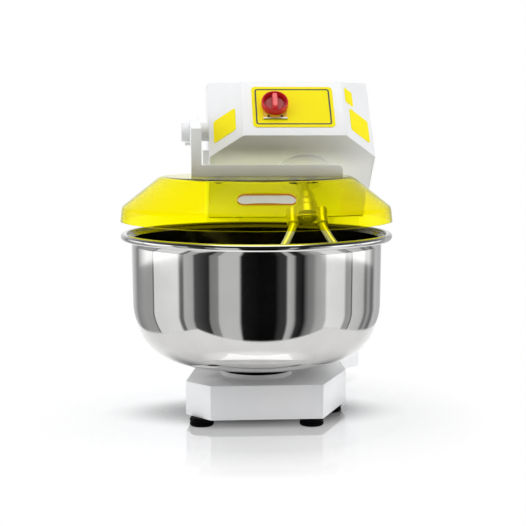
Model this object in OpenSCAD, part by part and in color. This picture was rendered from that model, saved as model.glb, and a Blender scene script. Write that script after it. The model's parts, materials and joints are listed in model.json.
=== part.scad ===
// Tilting-axis fork dough mixer: a turning bowl, a two-tine fork in a tilted head,
// and a hinged clear guard. Every sub-part is drawn about the bowl's axis (X right,
// Y back, Z up, floor at Z = 0) and moved so that the whole object is centred.

/* [Bowl] */
// Outside radius of the rolled rim
rim_r = 265; // [250:1:280]
// Height of the rim's top above the floor
rim_z = 363; // [350:1:370]
// Height of the bowl's flat bottom above the floor
bowl_z = 115; // [112:1:120]
// Sheet thickness of the bowl
bowl_t = 2; // [1.5:0.5:3]

/* [Guard] */
// Height of the guard's lower edge
guard_z = 386; // [380:1:392]
// Height of the guard's vertical skirt
skirt_h = 27; // [20:1:32]
// Height of the guard's flat top
guard_top_z = 472; // [466:1:478]
// Radius of the guard's flat top
guard_top_r = 187; // [175:1:195]
// Wall thickness of the guard
guard_t = 4; // [3:0.5:5]
// Length of the hand slot
slot_l = 106; // [90:1:115]
// Width of the hand slot
slot_w = 27.5; // [24:0.5:32]

/* [Head] */
// Lean of the fork's axis from the vertical
tilt = 42; // [40:1:44]
// Full width of head and column
head_w = 348; // [340:2:360]
// Size of the corner chamfers of head and column
chamfer = 68; // [60:1:72]
// Height of the head's top
head_top_z = 660; // [655:1:680]
// Sheet thickness of head, column and base
sheet = 3; // [2:0.5:4]

/* [Base] */
// Height of the rubber feet
foot_h = 16; // [15:0.5:20]
// Diameter of the rubber feet
foot_d = 46; // [40:1:50]
// Height of the base's top plate
base_top_z = 82; // [80:1:84]

/* [Fork] */
// Diameter of the fork's shaft
shaft_d = 30; // [26:1:34]
// Diameter of the round tines
tine_d = 16; // [14:1:18]
// Distance of each tine socket from the fork's axis
socket_x = 31; // [28:1:34]

/* [Controls] */
// Width of the yellow control panel
panel_w = 170; // [160:1:180]
// Height of the yellow control panel
panel_h = 112; // [100:1:116]
// Outside diameter of the switch shroud
shroud_d = 56; // [52:1:60]

/* [Hidden] */
$fn = 64;
eps = 0.01;
run = 0.05;
gap = 0.5;

// Overall depth, which centres the object on Y
back_y = 520;
back_reach = 540;
bowl_y = (rim_r - back_reach) / 2;

// Bowl section
bead_r = 7;
bead_x = rim_r - bead_r;
bead_z = rim_z - bead_r;
wall_r = 243;
neck_z = rim_z - 21;

// The bowl's curve: radius of each arc, and the lean of the wall where it ends
sides_r = [141, 96, 72];
leans = [24, 63, 90];

// Head: outline of the cross-section square to the fork's axis
head_x = 87;
fork_at = [113, 203, 469.5];
front_y = -118.6;
head_left = head_x - head_w / 2 - fork_at.x;
head_right = head_x + head_w / 2 - fork_at.x;
head_section = [
    [head_left + chamfer, front_y],
    [head_right - chamfer, front_y],
    [head_right, front_y + chamfer],
    [head_right, 420],
    [head_left, 420],
    [head_left, front_y + chamfer]
];

// Head: side outline, Y then Z
lip = [115, 549];
seam = [314, 370];
head_side = [lip, seam, [back_y, seam.y], [back_y, head_top_z], [215, head_top_z]];

// Column and base outlines seen from above
x0 = head_x - head_w / 2;
x1 = head_x + head_w / 2;
column_plan = [
    [x0 + chamfer, seam.x], [x1 - chamfer, seam.x], [x1, seam.x + chamfer],
    [x1, back_y - chamfer], [x1 - chamfer, back_y], [x0 + chamfer, back_y],
    [x0, back_y - chamfer], [x0, seam.x + chamfer]
];
base_plan = [
    [-95, -124], [119, -124], [181.5, 20], [181.5, 302.5], [x1, 382],
    [x1, back_y - chamfer], [x1 - chamfer, back_y], [x0 + chamfer, back_y],
    [x0, back_y - chamfer], [x0, 268], [-141, -70]
];
feet = [[-111, -90], [99, -101], [148, 10], [-103, 40], [-42, 462], [215, 440]];

// Guard
skirt_top_r = rim_r - 3;
skirt_top_z = guard_z + skirt_h;
cone_slope = atan((guard_top_z - skirt_top_z) / (skirt_top_r - guard_top_r));
skirt_lean = atan((rim_r - skirt_top_r) / skirt_h);
fold_r = 12;
slot_at = [4, -(skirt_top_r + guard_top_r) / 2, (skirt_top_z + guard_top_z) / 2];
notch_x = [-95, 190];
notch_y = 118;
bar_x = [-127, 167];
bar_y = -20;
bar_t = 6;
bar_h = 22;
leg_w = 20;
leg_top = 564;
pivot = [245, 555];
pivot_r = 10;
bolt_x = [-74, 102];

// Drive
worm_r = 18;
worm_hole = worm_r + 1;
journal_r = 8;
fork_wheel_r = 52;
fork_wheel_z = 80;
fork_worm_y = fork_wheel_r + worm_r + gap;
bowl_wheel_r = 50;
drive_z = 54;
bowl_worm_y = bowl_wheel_r + worm_r + gap;
motor_at = [428, 250];
layshaft_y = 440;
fork_belt_x = -16;
bowl_belt_x = -42;
chain_x = -60;
belt_w = 12;
belt_t = 8;
fork_pulley_r = 30;
motor_pulley_r = 24;
lay_pulley_r = 18;
sprocket_r = 20;
fork_pulley_at = [
    fork_at.y + fork_worm_y * cos(tilt) + fork_wheel_z * sin(tilt),
    fork_at.z - fork_worm_y * sin(tilt) + fork_wheel_z * cos(tilt)
];

// Controls, measured on the head's front face from the middle of its lower edge
panel_v = 22;
switch_uv = [-38.5, 79];

// Yoke: its top face on the fork's axis, and its height
yoke_z = -100;
yoke_h = 18;

// Centre line of a tine: distance from the fork's axis, then distance along it
tine_path = [
    [socket_x, 112], [socket_x, 137], [socket_x + 1, 146], [46, 180], [72, 230],
    [90, 290], [88, 340], [71, 382], [48, 411]
];

// ---------- helpers ----------

function unit(v) = v / norm(v);

// Moves each edge of a counter-clockwise outline inwards by t
function inset(p, t) = let (n = len(p)) [
    for (i = [0:n - 1])
        let (u = unit(p[i] - p[(i + n - 1) % n]), v = unit(p[(i + 1) % n] - p[i]))
        p[i] + t * [-(u.y + v.y), u.x + v.x] / (1 + u * v)
];

// Points on an arc about c from angle a to angle b
function arc(c, r, a, b, steps = 16) = [
    for (i = [0:steps]) let (q = a + (b - a) * i / steps) c + r * [cos(q), sin(q)]
];

// A point between b and c on the smooth curve through a, b, c and d
function between(a, b, c, d, s) =
    0.5 * (2 * b + (c - a) * s + (2 * a - 5 * b + 4 * c - d) * s * s
        + (3 * b - a - 3 * c + d) * s * s * s);

function smooth(p, steps) = let (n = len(p) - 1) concat(
    [for (i = [0:n - 1], k = [0:steps - 1])
        between(p[max(i - 1, 0)], p[i], p[i + 1], p[min(i + 2, n)], k / steps)],
    [p[n]]
);

// Places children in the object's own frame
module machine() translate([0, bowl_y, 0]) children();

// Local frame on the fork's axis: Z up along the axis, -Y towards the head's front face
module on_fork_axis() machine() translate(fork_at) rotate([-tilt, 0, 0]) children();

// Local frame on the head's front face: X right, Y up the face, Z out of it
module on_face(u = 0, v = 0)
    machine() translate([head_x, lip.x, lip.y]) rotate([90 - tilt, 0, 0])
        translate([u, v, 0]) children();

// Local frame on the pivot: Z along +X
module on_pivot() machine() translate([0, pivot.x, pivot.y]) rotate([0, 90, 0]) children();

module along_x(x, y, z) translate([x, y, z]) rotate([0, 90, 0]) children();

module ring(outer, inner, h) difference() {
    cylinder(r = outer, h = h);
    translate([0, 0, -1]) cylinder(r = inner, h = h + 2);
}

module rounded(w, h, r) {
    translate([r, 0]) square([w - 2 * r, h]);
    translate([0, r]) square([w, h - 2 * r]);
    for (x = [r, w - r], y = [r, h - r]) translate([x, y]) circle(r);
}

// Outline in the YZ plane, made w wide along X from x
module side_plate(x, w) translate([x, 0, 0]) rotate([90, 0, 90]) linear_extrude(w) children();

module belt(x, w, a, ra, b, rb, t) side_plate(x - w / 2, w) difference() {
    hull() {
        translate(a) circle(ra + t);
        translate(b) circle(rb + t);
    }
    hull() {
        translate(a) circle(ra);
        translate(b) circle(rb);
    }
}

module hex_bolt(r, l) {
    translate([0, 0, -l]) cylinder(r = r, h = l);
    cylinder(r = 1.9 * r, h = 1.3 * r, $fn = 6);
}

// ---------- base ----------

module base_frame() machine() color("white") difference() {
    translate([0, 0, foot_h]) linear_extrude(base_top_z - foot_h) polygon(base_plan);
    translate([0, 0, foot_h - 1]) linear_extrude(base_top_z - foot_h - sheet + 1)
        polygon(inset(base_plan, sheet));
    cylinder(r = 48, h = 100);
    translate([-56, 335, 70]) cube([246, 140, 20]);
}

module base_plate() machine() color("gainsboro") difference() {
    translate([0, 0, foot_h]) linear_extrude(sheet) polygon(inset(base_plan, sheet));
    for (p = feet) translate([p.x, p.y, 0]) cylinder(r = 4, h = 50);
    for (y = [150, 210, 270]) translate([20, y, foot_h - 1]) linear_extrude(sheet + 2)
        rounded(110, 24, 10);
}

module rubber_feet() machine() color("#1c1c1e") for (p = feet) translate([p.x, p.y, 0])
    difference() {
        rotate_extrude() polygon([
            [0, 0], [foot_d / 2 - 2, 0], [foot_d / 2, 2], [foot_d / 2, 6],
            [foot_d / 2 - 1.5, 7], [foot_d / 2 - 1.5, 9], [foot_d / 2, 10],
            [foot_d / 2, foot_h - 3], [foot_d / 2 - 2, foot_h], [0, foot_h]
        ]);
        translate([0, 0, 8]) cylinder(r = 4, h = foot_h);
    }

module foot_bolts() machine() color("silver") for (p = feet) translate([p.x, p.y, 0]) {
    translate([0, 0, 8]) cylinder(r = 4, h = foot_h);
    translate([0, 0, foot_h + sheet]) cylinder(r = 5.8, h = 6);
}

module bearing_collar() machine() color("white") difference() {
    rotate_extrude() polygon([
        [0, base_top_z - 10], [47.5, base_top_z - 10], [47.5, base_top_z], [70, base_top_z],
        [70, 92], [67, 95], [0, 95]
    ]);
    translate([0, 0, 50]) cylinder(r = 31, h = 100);
}

module bowl_seal() machine() color("#202020") translate([0, 0, 95]) ring(58, 16, 3.5);

module bowl_bearings() machine() color("silver") {
    translate([0, 0, 74]) ring(31, 15 + run, 18);
    translate([0, 0, 27]) ring(29, 15 + run, 8);
}

module bowl_gearbox() machine() color("dimgray") difference() {
    union() {
        translate([0, 0, foot_h + sheet]) cylinder(r = 60, h = base_top_z - 10 - foot_h - sheet);
        along_x(-42, bowl_worm_y, drive_z) cylinder(r = 24, h = 84);
    }
    translate([0, 0, 35]) cylinder(r = bowl_wheel_r + 2, h = 32);
    translate([0, 0, 27]) cylinder(r = 29, h = 20);
    translate([0, 0, 60]) cylinder(r = 31, h = 20);
    along_x(-50, bowl_worm_y, drive_z) cylinder(r = worm_hole, h = 100);
}

module bowl_worm_bearings() machine() color("silver") for (x = [-42, 32])
    along_x(x, bowl_worm_y, drive_z) ring(worm_hole, journal_r + run, 10);

module layshaft_bearings() machine() color("dimgray") for (x = [-76, 2]) difference() {
    translate([x, layshaft_y - 16, foot_h + sheet])
        cube([10, 32, drive_z + 16 - foot_h - sheet]);
    along_x(x - 1, layshaft_y, drive_z) cylinder(r = journal_r + run, h = 12);
}

// ---------- column ----------

// The top flange closes the head's corners, which overhang the column's front chamfers
module column_housing() machine() color("white") difference() {
    union() {
        translate([0, 0, base_top_z]) linear_extrude(seam.y - base_top_z) polygon(column_plan);
        translate([0, 0, seam.y - sheet]) linear_extrude(sheet) polygon([
            [x0, seam.x], [x1, seam.x], [x1, back_y - chamfer], [x1 - chamfer, back_y],
            [x0 + chamfer, back_y], [x0, back_y - chamfer]
        ]);
    }
    translate([0, 0, base_top_z - 1]) linear_extrude(seam.y - base_top_z + 2)
        polygon(inset(column_plan, sheet));
    translate([-3, back_y - 10, 130]) cube([180, 20, 400]);
    translate([head_x + 90, back_y - 10, 104]) rotate([-90, 0, 0]) cylinder(r = 10, h = 20);
}

module rear_panel() machine() color("white") {
    difference() {
        translate([head_x - 100, back_y, 120]) cube([200, 2, 500]);
        for (z = [150:12:258]) translate([head_x - 70, back_y - 1, z]) cube([140, 4, 4]);
    }
    for (z = [150:12:258]) side_plate(head_x - 70, 140) polygon([
        [back_y, z + 4], [back_y + 2, z + 4], [back_y + 7, z - 1], [back_y + 5.6, z - 2.4]
    ]);
}

module rear_screws() machine() color("silver") for (x = [-90, 90], z = [135, 370, 605])
    translate([head_x + x, back_y + 2, z]) rotate([-90, 0, 0]) difference() {
        cylinder(r1 = 6, r2 = 4, h = 3);
        translate([0, 0, 1.5]) cylinder(r = 2.2, h = 3, $fn = 6);
    }

module cable_gland() machine() color("#202020")
    translate([head_x + 90, back_y, 104]) rotate([-90, 0, 0]) difference() {
        union() {
            translate([0, 0, -8]) cylinder(r = 9.9, h = 9);
            cylinder(r = 14, h = 7, $fn = 6);
            translate([0, 0, 7]) cylinder(r1 = 11.5, r2 = 8, h = 13);
        }
        translate([0, 0, -10]) cylinder(r = 4.5, h = 40);
    }

// ---------- motor and belts, inside the column ----------

module motor_mount() machine() color("dimgray") {
    difference() {
        translate([x0 + sheet, 386, 170]) cube([head_w - 2 * sheet, 62, 8]);
        translate([bowl_belt_x - 14, 398, 165]) cube([28, 60, 20]);
    }
    translate([20, 447, 170]) cube([150, 45, 8]);
    for (x = [20, 162]) side_plate(x, 8) polygon([[386, 170], [400, 150], [470, 150], [492, 170]]);
}

module motor_body() machine() color("steelblue") difference() {
    union() {
        along_x(0, motor_at.x, motor_at.y) cylinder(r = 56, h = 180);
        for (x = [24:12:144]) along_x(x, motor_at.x, motor_at.y) cylinder(r = 60, h = 4);
        translate([30, motor_at.x - 35, 178]) cube([120, 70, 30]);
    }
    along_x(-1, motor_at.x, motor_at.y) cylinder(r = 10 + run, h = 26);
    along_x(25, motor_at.x, motor_at.y) cylinder(r = 35, h = 130);
    along_x(154, motor_at.x, motor_at.y) cylinder(r = 10 + run, h = 30);
}

module motor_fan_cover() machine() color("dimgray") difference() {
    along_x(180, motor_at.x, motor_at.y) cylinder(r = 58, h = 40);
    along_x(179, motor_at.x, motor_at.y) cylinder(r = 55, h = 38);
    for (a = [0:45:315], r = [22, 40]) along_x(200, motor_at.x, motor_at.y) rotate([0, 0, a])
        translate([r, 0, 0]) cylinder(r = 5, h = 30);
}

module motor_shaft() machine() color("silver") {
    along_x(-56, motor_at.x, motor_at.y) cylinder(r = 10, h = 251);
    along_x(30, motor_at.x, motor_at.y) cylinder(r = 34, h = 118);
    along_x(190, motor_at.x, motor_at.y) cylinder(r = 48, h = 12);
    for (x = [fork_belt_x, bowl_belt_x]) along_x(x - 9, motor_at.x, motor_at.y)
        pulley(motor_pulley_r);
}

// Grooved pulley, 18 wide, whose belt rides at radius r
module pulley(r) rotate_extrude() polygon([
    [0, 0], [r + belt_t, 0], [r + belt_t, 2], [r - gap, 2.5],
    [r - gap, 15.5], [r + belt_t, 16], [r + belt_t, 18], [0, 18]
]);

module fork_belt() machine() color("#202020")
    belt(fork_belt_x, belt_w, motor_at, motor_pulley_r, fork_pulley_at, fork_pulley_r, belt_t - 1);

module bowl_belt() machine() color("#202020")
    belt(bowl_belt_x, belt_w, motor_at, motor_pulley_r, [layshaft_y, drive_z], lay_pulley_r,
        belt_t - 1);

module drive_chain() machine() color("dimgray")
    belt(chain_x, 8, [layshaft_y, drive_z], sprocket_r + gap, [bowl_worm_y, drive_z],
        sprocket_r + gap, 4);

module layshaft() machine() color("silver") {
    along_x(-76, layshaft_y, drive_z) cylinder(r = journal_r, h = 88);
    along_x(chain_x - 3, layshaft_y, drive_z) cylinder(r = sprocket_r, h = 6);
    along_x(bowl_belt_x - 9, layshaft_y, drive_z) pulley(lay_pulley_r);
}

module bowl_worm() machine() color("silver") {
    along_x(-70, bowl_worm_y, drive_z) cylinder(r = journal_r, h = 112);
    along_x(-30, bowl_worm_y, drive_z) cylinder(r = worm_r, h = 60);
    along_x(chain_x - 3, bowl_worm_y, drive_z) cylinder(r = sprocket_r, h = 6);
}

// ---------- head ----------

module head_prism(t) {
    on_fork_axis() translate([0, 0, -300]) linear_extrude(900) polygon(inset(head_section, t));
}

module head_column(t) machine() linear_extrude(1000) polygon(inset([
    [x0, 0], [x1, 0], [x1, back_y - chamfer], [x1 - chamfer, back_y],
    [x0 + chamfer, back_y], [x0, back_y - chamfer]
], t));

module head_housing() color("white") difference() {
    intersection() {
        head_prism(0);
        head_column(0);
        machine() side_plate(x0 - 10, head_w + 20) polygon(head_side);
    }
    intersection() {
        head_prism(sheet);
        head_column(sheet);
        machine() side_plate(x0 - 10, head_w + 20) polygon([
            lip - [40, 40], seam - [0, 60], [back_y, seam.y - 60],
            [back_y, head_top_z - sheet], [120, head_top_z - sheet]
        ]);
    }
    on_pivot() translate([0, 0, x0 - 10]) cylinder(r = pivot_r + 1, h = 20);
    on_face(switch_uv.x, switch_uv.y) translate([0, 0, -10]) cylinder(r = 11.2, h = 20);
}

module head_underplate() color("gainsboro") difference() {
    on_fork_axis() translate([0, 0, 1]) linear_extrude(sheet) polygon(inset([
        [head_left + chamfer, front_y], [head_right - chamfer, front_y],
        [head_right, front_y + chamfer], [head_right, 148], [head_left, 148],
        [head_left, front_y + chamfer]
    ], sheet));
    on_fork_axis() translate([0, 0, -10]) cylinder(r = 40, h = 30);
}

module fork_flange() color("white") on_fork_axis() difference() {
    rotate_extrude() polygon([
        [0, -9], [52, -9], [58, -5], [58, 1], [39.5, 1], [39.5, 8], [0, 8]
    ]);
    translate([0, 0, -20]) cylinder(r = 31, h = 40);
}

module fork_seal() color("#202020") on_fork_axis() translate([0, 0, -9])
    ring(31, shaft_d / 2 + gap, 9);

module fork_gearbox() color("dimgray") on_fork_axis() difference() {
    union() {
        translate([0, 0, 8]) cylinder(r = 66, h = 117);
        along_x(-95, fork_worm_y, fork_wheel_z) cylinder(r = 26, h = 190);
    }
    translate([0, 0, 60]) cylinder(r = fork_wheel_r + 2, h = 45);
    translate([0, 0, -1]) cylinder(r = 31, h = 80);
    translate([0, 0, 80]) cylinder(r = 31, h = 41);
    along_x(-100, fork_worm_y, fork_wheel_z) cylinder(r = worm_hole, h = 200);
}

module fork_bearings() color("silver") on_fork_axis() {
    translate([0, 0, 0.5]) ring(31, shaft_d / 2 + run, 28);
    translate([0, 0, 105]) ring(31, shaft_d / 2 + run, 16);
}

module fork_worm_bearings() color("silver") on_fork_axis() for (x = [-95, 83])
    along_x(x, fork_worm_y, fork_wheel_z) ring(worm_hole, journal_r + run, 12);

module fork_worm() color("silver") on_fork_axis() {
    along_x(-142, fork_worm_y, fork_wheel_z) cylinder(r = journal_r, h = 237);
    along_x(-40, fork_worm_y, fork_wheel_z) cylinder(r = worm_r, h = 80);
    along_x(fork_belt_x - fork_at.x - 9, fork_worm_y, fork_wheel_z) pulley(fork_pulley_r);
}

// ---------- controls on the head ----------

module control_panel() color("gold") on_face() difference() {
    translate([-panel_w / 2, panel_v, 0]) linear_extrude(1.5) rounded(panel_w, panel_h, 9);
    translate([switch_uv.x, switch_uv.y, -1]) cylinder(r = 11.2, h = 4);
}

module switch_plate() color("gold") on_face(switch_uv.x, switch_uv.y) difference() {
    translate([-27, -27, 1.5]) linear_extrude(3) rounded(54, 54, 5);
    cylinder(r = 11.2, h = 10);
}

module switch_shroud() color("crimson") on_face(switch_uv.x, switch_uv.y)
    rotate_extrude() polygon([
        [12, 4.5], [shroud_d / 2, 4.5], [shroud_d / 2, 20], [shroud_d / 2 - 2, 22],
        [shroud_d / 2 - 4, 22], [shroud_d / 2 - 5.5, 7], [12, 7]
    ]);

module switch_screws() color("#202020") on_face(switch_uv.x, switch_uv.y)
    for (x = [-22.5, 22.5], y = [-22.5, 22.5]) translate([x, y, 4.5]) cylinder(r = 2.6, h = 1.6);

module switch_block() color("dimgray") on_face(switch_uv.x, switch_uv.y) difference() {
    union() {
        translate([0, 0, -sheet]) cylinder(r = 11, h = sheet + 6);
        translate([-22, -22, -48]) cube([44, 44, 45]);
    }
    translate([0, 0, -12]) cylinder(r = 3 + run, h = 30);
}

module switch_knob() color("red") on_face(switch_uv.x, switch_uv.y) {
    translate([0, 0, -10]) cylinder(r = 3, h = 20);
    translate([0, 0, 7.5]) cylinder(r = 19.5, h = 7);
    translate([0, 0, 14.5]) linear_extrude(9) intersection() {
        circle(19.5);
        translate([-6.5, -20]) square([13, 40]);
    }
}

module plain_labels() color("gold") {
    for (side = [0, 1]) on_fork_axis() translate([head_x - fork_at.x, 0, 0])
        mirror([side, 0, 0]) translate([fork_at.x - head_x, 0, 0])
            chamfer_plate(15, 28, 62, 60, 6);
    on_fork_axis() translate([head_x - fork_at.x, 0, 0]) mirror([1, 0, 0])
        translate([fork_at.x - head_x, 0, 0]) chamfer_plate(62, 100, 25, 40, 3);
}

// Plate on the left chamfer: u from the outer edge, v up from the head's lower edge
module chamfer_plate(u, v, w, h, r)
    translate([head_left, front_y + chamfer, 0]) rotate([0, 0, -45]) translate([u, 0, v])
        rotate([90, 0, 0]) linear_extrude(1) rounded(w, h, r);

module pivot_boss() color("white") on_pivot() translate([0, 0, x0 - 19]) difference() {
    union() {
        cylinder(r = 20, h = 19);
        translate([0, 0, 19]) cylinder(r = pivot_r + 1, h = 8);
    }
    translate([0, 0, -1]) cylinder(r = pivot_r + run, h = 40);
}

module guard_sensor() machine() color("gainsboro")
    translate([x0 - 12, 228, 486]) cube([12, 34, 30]);

// ---------- bowl ----------

// Centres of the three arcs, each reached from the last along the normal where they meet
upper_at = [wall_r - sides_r[0], bowl_z + sides_r[2] + (sides_r[1] - sides_r[2]) * sin(leans[1])
    + (sides_r[0] - sides_r[1]) * sin(leans[0])];
middle_at = upper_at + (sides_r[0] - sides_r[1]) * [cos(leans[0]), -sin(leans[0])];
lower_at = middle_at + (sides_r[1] - sides_r[2]) * [cos(leans[1]), -sin(leans[1])];

// One run of points after another that starts where it ends
function join(a, b) = concat(a, [for (i = [1:len(b) - 1]) b[i]]);

function bowl_outline(t) = concat(
    [[0, bowl_z + t]],
    join(
        join(
            arc(lower_at, sides_r[2] - t, -leans[2], -leans[1], 5),
            arc(middle_at, sides_r[1] - t, -leans[1], -leans[0], 8)
        ),
        arc(upper_at, sides_r[0] - t, -leans[0], 0, 5)
    ),
    [[wall_r + 1 - t, neck_z]]
);

module bowl() machine() color("silver") difference() {
    rotate_extrude($fn = 96) {
        polygon(concat(
            bowl_outline(0),
            [[wall_r + 9, bead_z - 4], [bead_x, bead_z], [bead_x, bead_z + bead_r],
                [wall_r + 6, bead_z + 3]],
            [for (i = [len(bowl_outline(0)) - 1:-1:0]) bowl_outline(bowl_t)[i]]
        ));
        translate([bead_x, bead_z]) circle(bead_r, $fn = 24);
    }
    for (a = [45:90:315]) rotate(a) translate([28, 0, bowl_z - 1]) cylinder(r = 4, h = 5);
}

module bowl_hub() machine() color("gainsboro") difference() {
    rotate_extrude() polygon([
        [0, 99], [60, 99], [60, 102], [57, 103], [46, 104], [42, 108], [42, bowl_z], [0, bowl_z]
    ]);
    translate([0, 0, 98]) cylinder(r = 15, h = 12);
    for (a = [45:90:315]) rotate(a) translate([28, 0, 105]) cylinder(r = 4, h = 20);
}

module bowl_shaft() machine() color("silver") translate([0, 0, 28]) cylinder(r = 15, h = 82);

module bowl_wheel() machine() color("peru") translate([0, 0, drive_z - 10])
    wheel(bowl_wheel_r, 15, 20, 40);

module bowl_bolts() machine() color("silver") for (a = [45:90:315]) rotate(a)
    translate([28, 0, 0]) {
        translate([0, 0, 105]) cylinder(r = 4, h = bowl_z + bowl_t - 105);
        translate([0, 0, bowl_z + bowl_t]) difference() {
            cylinder(r1 = 8, r2 = 5, h = 4);
            translate([0, 0, 2]) cylinder(r = 2.5, h = 4, $fn = 6);
        }
    }

// Worm wheel with straight tooth gaps
module wheel(r, bore, w, teeth) difference() {
    cylinder(r = r, h = w);
    translate([0, 0, -1]) cylinder(r = bore, h = w + 2);
    for (i = [1:teeth]) rotate(i * 360 / teeth) translate([r - 4, -1.6, -1])
        cube([6, 3.2, w + 2]);
}

// ---------- fork ----------

module fork_shaft() color("silver") on_fork_axis() translate([0, 0, -74])
    cylinder(d = shaft_d, h = 74 + 120);

module fork_wheel() color("peru") on_fork_axis() translate([0, 0, fork_wheel_z - 12])
    wheel(fork_wheel_r, shaft_d / 2, 24, 30);

module fork_hub() color("silver") on_fork_axis() difference() {
    rotate_extrude() polygon([
        [0, yoke_z], [21.5, yoke_z], [23.5, yoke_z + 2], [23.5, yoke_z + 14],
        [20, yoke_z + 20], [20, -64], [17, -60], [0, -60]
    ]);
    translate([0, 0, -74]) cylinder(d = shaft_d, h = 40);
    translate([0, 0, yoke_z - 1]) cylinder(r = 6, h = 20);
}

// Yoke: a round boss, a bar and the two sockets that hold the tines
module fork_crossbar() color("silver") on_fork_axis() difference() {
    union() {
        translate([0, 0, yoke_z - yoke_h]) cylinder(r = 23.5, h = yoke_h);
        translate([-socket_x, -8, yoke_z - yoke_h + 2]) cube([2 * socket_x, 16, yoke_h - 4]);
        for (x = [-socket_x, socket_x]) translate([x, 0, yoke_z - 36]) cylinder(r = 12, h = 36);
    }
    for (x = [-socket_x, socket_x]) translate([x, 0, yoke_z - 40]) cylinder(d = tine_d + 0.2, h = 28);
    translate([0, 0, yoke_z - 40]) cylinder(r = 6, h = 60);
}

module fork_end_bolt() color("silver") on_fork_axis() {
    translate([0, 0, yoke_z - yoke_h]) cylinder(r = 6, h = yoke_h + 16);
    translate([0, 0, yoke_z - yoke_h - 6]) cylinder(r = 10, h = 6, $fn = 6);
}

module fork_tines() color("silver") on_fork_axis() for (s = [-1, 1]) tine(s);

// Round bar swept along the curved centre line, its end domed by three smaller rings
module tine(s) {
    curve = smooth(tine_path, 4);
    n = len(curve) - 1;
    sides = 14;
    ring_r = [for (i = [0:n]) i > n - 3 ? tine_d / 2 * sqrt(1 - pow((i - n + 3) / 3.2, 2)) : tine_d / 2];
    rings = [for (i = [0:n])
        let (d = unit(curve[min(i + 1, n)] - curve[max(i - 1, 0)]), m = [d.y, -d.x])
        for (k = [0:sides - 1])
            let (q = 360 * k / sides, r = ring_r[i] * cos(q))
            [s * (curve[i].x + r * m.x), ring_r[i] * sin(q), -(curve[i].y + r * m.y)]
    ];
    walls = [for (i = [0:n - 1], k = [0:sides - 1])
        let (a = i * sides + k, b = i * sides + (k + 1) % sides)
        [a, b, b + sides, a + sides]
    ];
    faces = concat(walls, [[for (k = [sides - 1:-1:0]) k]],
        [[for (k = [0:sides - 1]) n * sides + k]]);
    flip = s > 0 ? faces : [for (f = faces) [for (k = [len(f) - 1:-1:0]) f[k]]];
    polyhedron(rings, flip);
}

// ---------- guard ----------

// The rounded fold at corner p, between faces whose outward normals point at a and b
function fold(p, a, b, t) =
    let (m = [cos(a), sin(a)], n = [cos(b), sin(b)])
    arc(p - fold_r * (m + n) / (1 + m * n), fold_r - t, a, b, 6);

function guard_outline(t) = concat(
    [[rim_r - t, guard_z]],
    fold([skirt_top_r, skirt_top_z], skirt_lean, 90 - cone_slope, t),
    fold([guard_top_r, guard_top_z], 90 - cone_slope, 90, t),
    [[0, guard_top_z - t]]
);

module guard_shell() machine() color("#e6e000") difference() {
    rotate_extrude($fn = 96) polygon(concat(
        guard_outline(0),
        [for (i = [len(guard_outline(0)) - 1:-1:0]) guard_outline(guard_t)[i]]
    ));
    translate(slot_at) rotate([cone_slope, 0, 0]) translate([-slot_l / 2, -slot_w / 2, -20])
        linear_extrude(40) rounded(slot_l, slot_w, slot_w / 2 - eps);
    translate([notch_x[0], notch_y, guard_z - 1]) cube([notch_x[1] - notch_x[0], 200, 100]);
    for (x = bolt_x) translate([x, 2, 400]) cylinder(r = 4, h = 100);
}

module guard_bar() machine() color("white") {
    translate([0, bar_y + bar_t, 0]) rotate([90, 0, 0]) linear_extrude(bar_t) difference() {
        union() {
            translate([bar_x[0], guard_top_z]) square([bar_x[1] - bar_x[0] - 10, bar_h]);
            translate([bar_x[1] - 10, guard_top_z]) square([10, bar_h - 10]);
            translate([bar_x[1] - 10, guard_top_z + bar_h - 10]) circle(10);
            translate([bar_x[0], guard_top_z]) square([leg_w, leg_top - guard_top_z]);
        }
    }
    difference() {
        translate([bar_x[0], bar_y + bar_t, guard_top_z])
            cube([bar_x[1] - bar_x[0] - 4, 28, 5]);
        for (x = bolt_x) translate([x, 2, 400]) cylinder(r = 4, h = 100);
    }
}

module guard_arm() color("white") difference() {
    machine() side_plate(bar_x[0], leg_w) union() {
        polygon([
            [bar_y + bar_t, leg_top - 40], [pivot.x - 2, pivot.y - 30],
            [pivot.x - 2, pivot.y + 30], [bar_y + bar_t, leg_top]
        ]);
        translate(pivot) circle(30);
    }
    on_pivot() translate([0, 0, -200]) cylinder(r = pivot_r, h = 200);
}

module guard_bolts() machine() color("silver") for (x = bolt_x) translate([x, 2, 0]) {
    translate([0, 0, guard_top_z + 5]) hex_bolt(4, guard_t + 16);
    translate([0, 0, guard_top_z - guard_t - 1.5]) ring(9, 4, 1.5);
    translate([0, 0, guard_top_z - guard_t - 8]) difference() {
        cylinder(r = 7.5, h = 6.5, $fn = 6);
        translate([0, 0, -1]) cylinder(r = 4, h = 10);
    }
}

module pivot_pin() color("silver") on_pivot() translate([0, 0, bar_x[0] - 14])
    cylinder(r = pivot_r, h = 63);

module pivot_knob() color("gainsboro") on_pivot() translate([0, 0, bar_x[0] - 18]) difference() {
    rotate_extrude() polygon([
        [0, 0], [19, 0], [21, 2], [21, 16], [20, 18], [0, 18]
    ]);
    translate([0, 0, 4]) cylinder(r = pivot_r, h = 20);
}

module guard_magnet() machine() color("#303030")
    translate([bar_x[0] + leg_w, 221, 527]) cube([5, 11, 8]);

module arm_screw() machine() color("#404040") along_x(bar_x[0] - 10, 235, 530)
    cylinder(r = 3.5, h = 10);

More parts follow.
